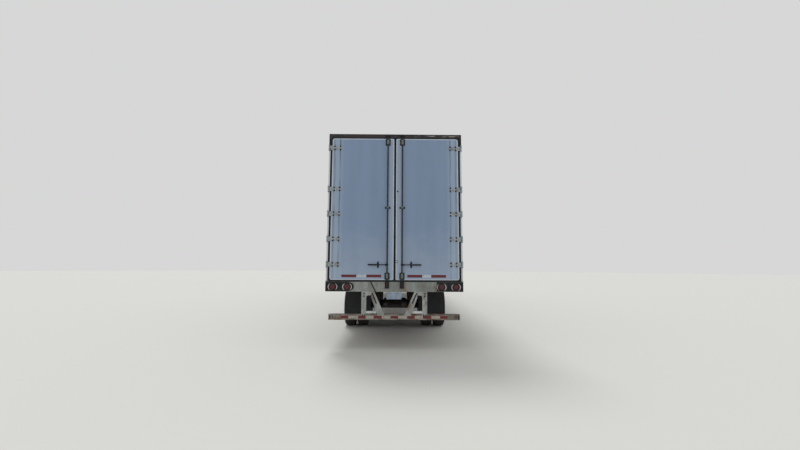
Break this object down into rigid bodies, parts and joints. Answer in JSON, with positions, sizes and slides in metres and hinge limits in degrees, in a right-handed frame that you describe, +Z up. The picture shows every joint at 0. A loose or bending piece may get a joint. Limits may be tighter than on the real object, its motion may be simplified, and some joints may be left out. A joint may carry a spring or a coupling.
{
  "type": "semi trailer",
  "caption": "Box semi trailer parked on its tyres and landing gear, with two hinged rear doors, lock rods and a rear impact guard.",
  "frame": {"origin": "on the ground, below the middle of the whole trailer", "axes": "+X towards the nose and kingpin, +Y to the trailer's left, +Z up"},
  "size_m": [16.2835, 2.591, 4.115],
  "materials": {
    "white_panel": "smooth white prefinished panel",
    "door_white": "white prefinished door skin, streaked below the hinges",
    "mill_aluminium": "extruded, dull with road film",
    "galvanised_steel": "hot-dip galvanised, dirty and rust-streaked",
    "guard_galvanised": "galvanised, scraped and rusty at the edges",
    "black_frame_paint": "black chassis paint under road dust",
    "dark_hardware": "weathered galvanised door hardware",
    "floor_oak": "laminated hardwood boards",
    "black_rubber": "matt extruded rubber",
    "tyre_rubber": "worn, dusty tyre rubber",
    "wheel_white": "white powder coat with brake dust",
    "red_lens": "ribbed red lens",
    "amber_lens": "ribbed amber lens",
    "plate_white": "blank white reflective plate",
    "cast_steel": "forged steel, greased"
  },
  "bodies": {
    "trailer": {"side_walls": "white_panel", "bottom_rails": "mill_aluminium", "top_rails": "mill_aluminium", "front_corner_posts": "mill_aluminium", "front_wall": "white_panel", "front_beams": "mill_aluminium", "roof_sheet": "mill_aluminium", "roof_bows": "galvanised_steel", "floor": "floor_oak", "crossmembers": "black_frame_paint", "coupler_plate": "black_frame_paint", "kingpin": "cast_steel", "rear_posts": "white_panel", "rear_header": "black_frame_paint", "rear_sill": "galvanised_steel", "lamp_boxes": "black_rubber", "red_lamps": "red_lens", "amber_lamps": "amber_lens", "hinge_butts": "dark_hardware", "rod_keepers": "dark_hardware", "licence_plate": "plate_white", "guard_bar": "guard_galvanised", "guard_uprights": "guard_galvanised", "mud_flaps": "black_rubber", "slider_rails": "galvanised_steel", "slider_frame": "black_frame_paint", "trailing_arms": "black_frame_paint", "air_springs": "black_rubber", "axles": "black_frame_paint", "air_tank": "black_frame_paint", "landing_gear_legs": "black_frame_paint", "landing_gear_feet": "black_frame_paint", "landing_gear_braces": "black_frame_paint", "landing_gear_crank": "dark_hardware", "nose_connectors": "mill_aluminium"},
    "door_left": {"door_panel_left": "door_white", "door_seal_left": "black_rubber", "door_hardware_left": "dark_hardware"},
    "rod_left": {"lock_rod_left": "dark_hardware", "lock_handle_left": "dark_hardware"},
    "door_right": {"door_panel_right": "door_white", "door_seal_right": "black_rubber", "door_hardware_right": "dark_hardware"},
    "rod_right": {"lock_rod_right": "dark_hardware", "lock_handle_right": "dark_hardware"},
    "wheel_pair_rear_left": {"wheels_rear_left": "wheel_white", "tyres_rear_left": "tyre_rubber"},
    "wheel_pair_rear_right": {"wheels_rear_right": "wheel_white", "tyres_rear_right": "tyre_rubber"},
    "wheel_pair_front_left": {"wheels_front_left": "wheel_white", "tyres_front_left": "tyre_rubber"},
    "wheel_pair_front_right": {"wheels_front_right": "wheel_white", "tyres_front_right": "tyre_rubber"}
  },
  "joints": [
    {"name": "door_left_swing", "type": "hinge", "parent": "trailer", "child": "door_left", "pos_m": [-8.1125, 1.283, 2.6], "axis": [0, 0, -1], "range_deg": [0, 265]},
    {"name": "rod_left_turn", "type": "hinge", "parent": "door_left", "child": "rod_left", "pos_m": [-8.1225, 0.14, 2.6], "axis": [0, 0, -1], "range_deg": [-100, 0]},
    {"name": "door_right_swing", "type": "hinge", "parent": "trailer", "child": "door_right", "pos_m": [-8.1125, -1.283, 2.6], "axis": [0, 0, 1], "range_deg": [0, 265]},
    {"name": "rod_right_turn", "type": "hinge", "parent": "door_right", "child": "rod_right", "pos_m": [-8.1225, -0.14, 2.6], "axis": [0, 0, 1], "range_deg": [-100, 0]},
    {"name": "wheel_rear_left_roll", "type": "hinge", "parent": "trailer", "child": "wheel_pair_rear_left", "pos_m": [-5.0375, 0.984, 0.508], "axis": [0, 1, 0], "continuous": true},
    {"name": "wheel_rear_right_roll", "type": "hinge", "parent": "trailer", "child": "wheel_pair_rear_right", "pos_m": [-5.0375, -0.984, 0.508], "axis": [0, 1, 0], "continuous": true},
    {"name": "wheel_front_left_roll", "type": "hinge", "parent": "trailer", "child": "wheel_pair_front_left", "pos_m": [-3.7925, 0.984, 0.508], "axis": [0, 1, 0], "continuous": true},
    {"name": "wheel_front_right_roll", "type": "hinge", "parent": "trailer", "child": "wheel_pair_front_right", "pos_m": [-3.7925, -0.984, 0.508], "axis": [0, 1, 0], "continuous": true}
  ]
}
